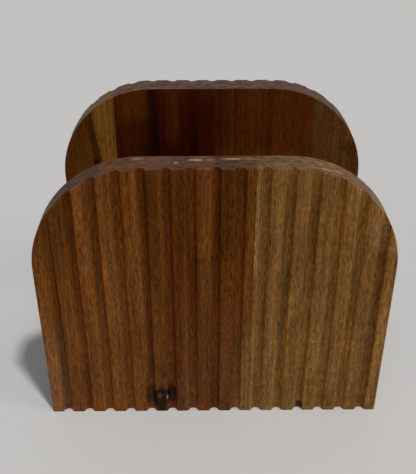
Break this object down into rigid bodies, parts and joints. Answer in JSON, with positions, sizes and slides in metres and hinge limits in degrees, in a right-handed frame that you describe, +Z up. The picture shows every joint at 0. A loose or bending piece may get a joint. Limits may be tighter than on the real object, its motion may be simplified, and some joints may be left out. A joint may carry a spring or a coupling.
{
  "type": "napkin holder",
  "caption": "Free-standing wooden napkin holder: two upright fluted panels with rounded top corners and a base board between them form an open-ended slot.",
  "frame": {"origin": "centre of the underside, on the surface that the holder stands on", "axes": "+X along the panels and the slot, to the right seen from the front; +Y from the front panel to the rear panel; +Z up"},
  "size_m": [0.153, 0.101, 0.128],
  "materials": {
    "acacia_brown": "oiled mid-brown acacia, satin",
    "acacia_red": "oiled red-brown acacia heartwood, satin",
    "acacia_tan": "oiled tan acacia, satin",
    "beech_dowel": "bare fluted beech"
  },
  "bodies": {
    "root": {"front_stave_left": "acacia_brown", "front_stave_middle": "acacia_red", "front_stave_right": "acacia_tan", "rear_stave_left": "acacia_tan", "rear_stave_left_inner": "acacia_red", "rear_stave_middle": "acacia_red", "rear_stave_right": "acacia_brown", "base_stave_front": "acacia_brown", "base_stave_middle": "acacia_tan", "base_stave_rear": "acacia_red", "dowel_front_left": "beech_dowel", "dowel_front_middle": "beech_dowel", "dowel_front_right": "beech_dowel", "dowel_rear_left": "beech_dowel", "dowel_rear_middle": "beech_dowel", "dowel_rear_right": "beech_dowel"}
  },
  "joints": []
}
